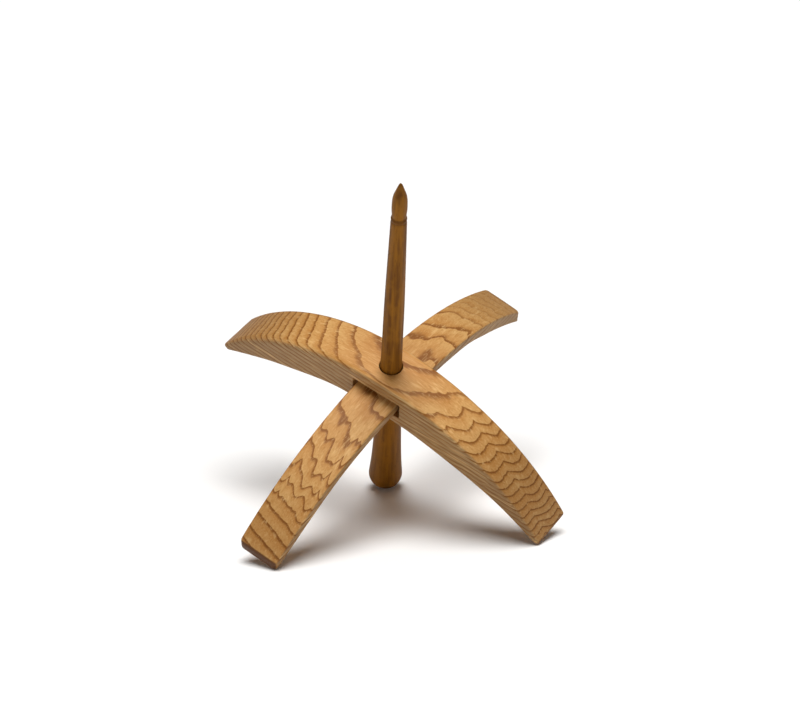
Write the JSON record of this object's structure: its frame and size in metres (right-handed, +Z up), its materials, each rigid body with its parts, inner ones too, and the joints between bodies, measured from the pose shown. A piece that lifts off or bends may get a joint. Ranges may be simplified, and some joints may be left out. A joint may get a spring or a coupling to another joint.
{
  "type": "drop spindle",
  "caption": "Knock-down drop spindle: two bowed wooden arms, one lying in a slot through the other, cross on a tapered shaft with a round lower end and a notched, pointed tip for the yarn.",
  "frame": {"origin": "on the tabletop, under the middle of the spindle's outer box as it is put down", "axes": "+Z up from the tabletop; the shaft leans towards -Y, in the plane X = 0"},
  "size_m": [0.1106, 0.1118, 0.1283],
  "materials": {
    "shaft_wood": "oiled, satin",
    "outer_arm_wood": "oiled, satin",
    "inner_arm_wood": "oiled, satin"
  },
  "bodies": {
    "shaft": {"shaft": "shaft_wood"},
    "arms": {"outer_arm": "outer_arm_wood", "inner_arm": "inner_arm_wood"}
  },
  "joints": [
    {"name": "arms_slide", "type": "slide", "parent": "shaft", "child": "arms", "axis": [0, -0.5459, 0.8379], "range_m": [0, 0.103]}
  ]
}
